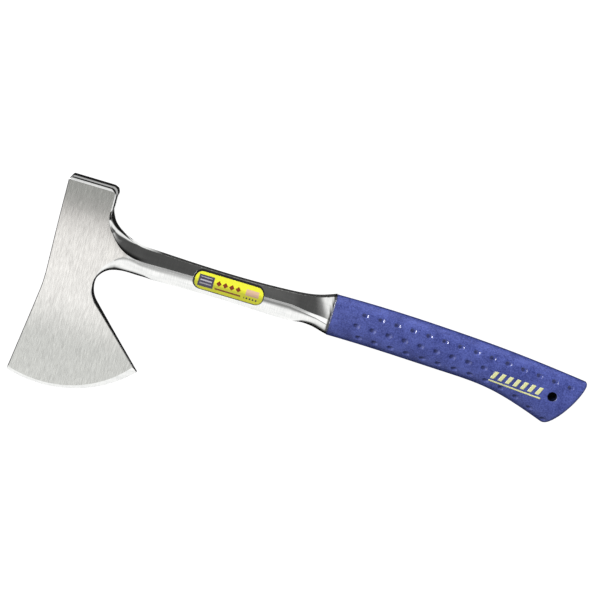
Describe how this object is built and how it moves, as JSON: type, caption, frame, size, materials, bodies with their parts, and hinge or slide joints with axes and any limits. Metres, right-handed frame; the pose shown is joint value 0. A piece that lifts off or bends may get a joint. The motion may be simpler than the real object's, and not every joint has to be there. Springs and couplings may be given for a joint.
{
  "type": "camp axe",
  "caption": "One-piece steel camp axe with a flared blade, a square poll, a slim ridged shaft and a dimpled moulded grip with a hanging hole.",
  "frame": {"origin": "middle of the bottom of the whole axe's box, with the axe lying on its side", "axes": "+X from the head along the handle to the butt, +Y from the cutting edge towards the poll's striking face, +Z out of the side that carries the label and the mark"},
  "size_m": [0.4254, 0.1657, 0.0251],
  "materials": {
    "forged_steel": "fine vertical grinding lines on the head, mirror polish on the shaft and the narrow edges",
    "grip_blue": "satin moulded vinyl with a fine grain",
    "bond_adhesive": "cured adhesive, not seen",
    "label_film": "glossy printed film, yellow ground with a dark border",
    "mark_print": "pale yellow raised print"
  },
  "bodies": {
    "root": {"steel_forging": "forged_steel", "grip_bond": "bond_adhesive", "grip_sleeve": "grip_blue", "shaft_label": "label_film", "grip_mark": "mark_print"}
  },
  "joints": []
}
